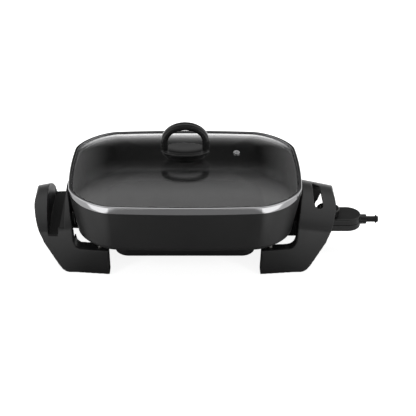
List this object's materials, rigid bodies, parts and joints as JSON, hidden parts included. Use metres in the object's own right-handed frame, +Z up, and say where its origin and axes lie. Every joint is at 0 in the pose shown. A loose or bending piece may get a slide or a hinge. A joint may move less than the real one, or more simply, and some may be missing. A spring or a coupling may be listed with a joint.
{
  "type": "electric skillet",
  "caption": "Black rectangular electric skillet on moulded end legs, with a lift-off domed glass lid, a loop knob and a plug-in temperature probe with a dial.",
  "frame": {"origin": "on the table under the centre of the object's box, the probe included", "axes": "+X along the long side towards the probe, +Y to the rear, +Z up"},
  "size_m": [0.6048, 0.3, 0.2465],
  "materials": {
    "pan_coating": "satin black non-stick coating on cast aluminium",
    "dark_steel": "satin black",
    "sheath": "heat-darkened",
    "leg_plastic": "satin black heat-proof moulding",
    "plated_steel": "zinc plated",
    "soft_rubber": "matt black",
    "clear_glass": "clear, tempered",
    "polished_steel": "polished stainless steel",
    "knob_plastic": "gloss black",
    "probe_plastic": "semi-gloss black",
    "sleeve_brass": "plain"
  },
  "bodies": {
    "skillet": {"pan_body": "pan_coating", "base_casing": "dark_steel", "heating_element": "sheath", "socket_guard": "leg_plastic", "contact_pin_front": "plated_steel", "contact_pin_rear": "plated_steel", "guard_screw_front": "plated_steel", "guard_screw_rear": "plated_steel", "casing_screw_left": "plated_steel", "casing_screw_right": "plated_steel", "leg_left": "leg_plastic", "leg_right": "leg_plastic", "spacer_right_front": "plated_steel", "spacer_right_rear": "plated_steel", "spacer_left_front": "plated_steel", "spacer_left_rear": "plated_steel", "leg_screw_right_front": "plated_steel", "leg_screw_right_rear": "plated_steel", "leg_screw_left_front": "plated_steel", "leg_screw_left_rear": "plated_steel", "foot_pad_right_front": "soft_rubber", "foot_pad_right_rear": "soft_rubber", "foot_pad_left_front": "soft_rubber", "foot_pad_left_rear": "soft_rubber", "side_bracket_left": "dark_steel", "side_bracket_right": "dark_steel", "side_screw_left_front": "plated_steel", "side_screw_left_rear": "plated_steel", "side_screw_right_front": "plated_steel", "side_screw_right_rear": "plated_steel"},
    "lid": {"lid_glass": "clear_glass", "lid_band": "polished_steel", "vent_eyelet": "polished_steel", "knob_seat": "knob_plastic", "knob_handle": "knob_plastic", "knob_washer": "soft_rubber", "knob_screw": "polished_steel"},
    "probe": {"probe_upper_housing": "probe_plastic", "probe_lower_housing": "probe_plastic", "sensor_rod": "plated_steel", "strain_relief": "soft_rubber", "contact_sleeve_front": "sleeve_brass", "contact_sleeve_rear": "sleeve_brass", "housing_screw_inner": "plated_steel", "housing_screw_outer": "plated_steel"},
    "dial": {"temperature_dial": "probe_plastic", "dial_shaft": "plated_steel"}
  },
  "joints": [
    {"name": "lid_lift", "type": "slide", "parent": "skillet", "child": "lid", "axis": [0, 0, 1], "range_m": [0, 0.15]},
    {"name": "probe_pull", "type": "slide", "parent": "skillet", "child": "probe", "axis": [1, 0, 0], "range_m": [0, 0.18]},
    {"name": "dial_turn", "type": "hinge", "parent": "probe", "child": "dial", "pos_m": [0.2126, 0, 0.0764], "axis": [0, 0, -1], "range_deg": [0, 280]}
  ]
}
